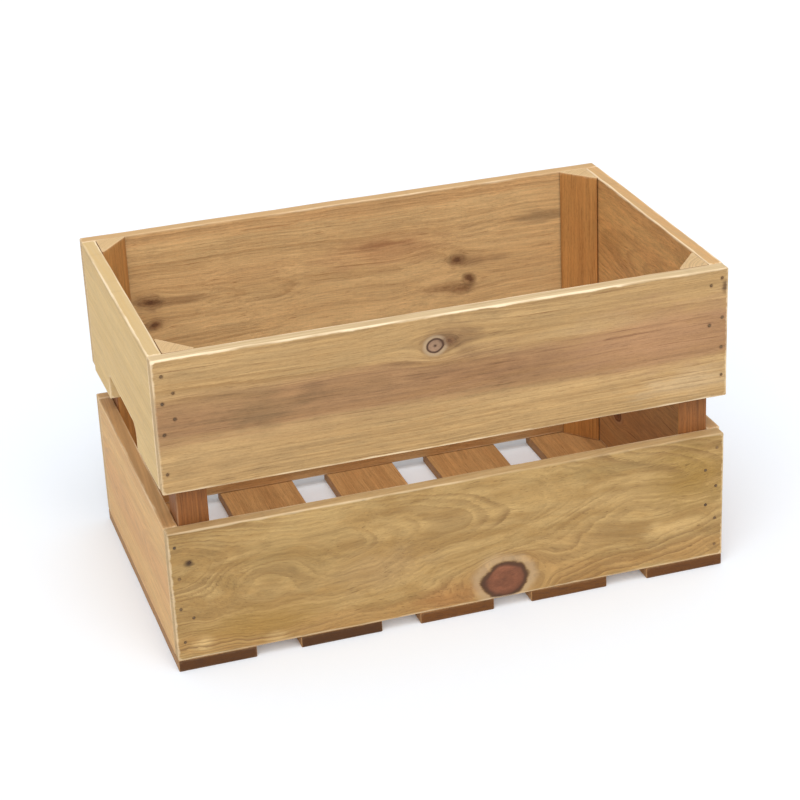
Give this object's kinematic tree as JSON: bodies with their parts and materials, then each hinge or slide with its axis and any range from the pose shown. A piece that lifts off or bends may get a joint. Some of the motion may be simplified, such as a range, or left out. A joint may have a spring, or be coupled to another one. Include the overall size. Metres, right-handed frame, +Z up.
{
  "type": "slatted wooden crate",
  "caption": "Open-top slatted apple crate of thin softwood boards nailed to triangular corner posts, with a hand notch in each end and a slatted bottom.",
  "frame": {"origin": "on the ground, at the centre of the crate's footprint", "axes": "+X along the crate's length, from its left end to its right; +Y from front to rear; +Z up, out of the open top"},
  "size_m": [0.44, 0.267, 0.251],
  "materials": {
    "front_board_wood": "rough-sawn softwood, oiled tan, with knots",
    "rear_board_wood": "rough-sawn softwood, oiled tan, with knots",
    "end_board_wood": "rough-sawn softwood, pale oiled tan",
    "post_wood": "sawn softwood, orange brown",
    "slat_wood": "rough-sawn softwood, darker end grain",
    "nail_steel": "dull, tarnished dark"
  },
  "bodies": {
    "root": {"front_upper_board": "front_board_wood", "front_lower_board": "front_board_wood", "rear_upper_board": "rear_board_wood", "rear_lower_board": "rear_board_wood", "left_end_upper_board": "end_board_wood", "left_end_lower_board": "end_board_wood", "right_end_upper_board": "end_board_wood", "right_end_lower_board": "end_board_wood", "corner_post_front_left": "post_wood", "corner_post_front_right": "post_wood", "corner_post_rear_left": "post_wood", "corner_post_rear_right": "post_wood", "bottom_slat_1": "slat_wood", "bottom_slat_2": "slat_wood", "bottom_slat_3": "slat_wood", "bottom_slat_4": "slat_wood", "bottom_slat_5": "slat_wood", "front_upper_nails": "nail_steel", "front_lower_nails": "nail_steel", "rear_upper_nails": "nail_steel", "rear_lower_nails": "nail_steel", "bottom_slat_nails_front": "nail_steel", "bottom_slat_nails_rear": "nail_steel"}
  },
  "joints": []
}
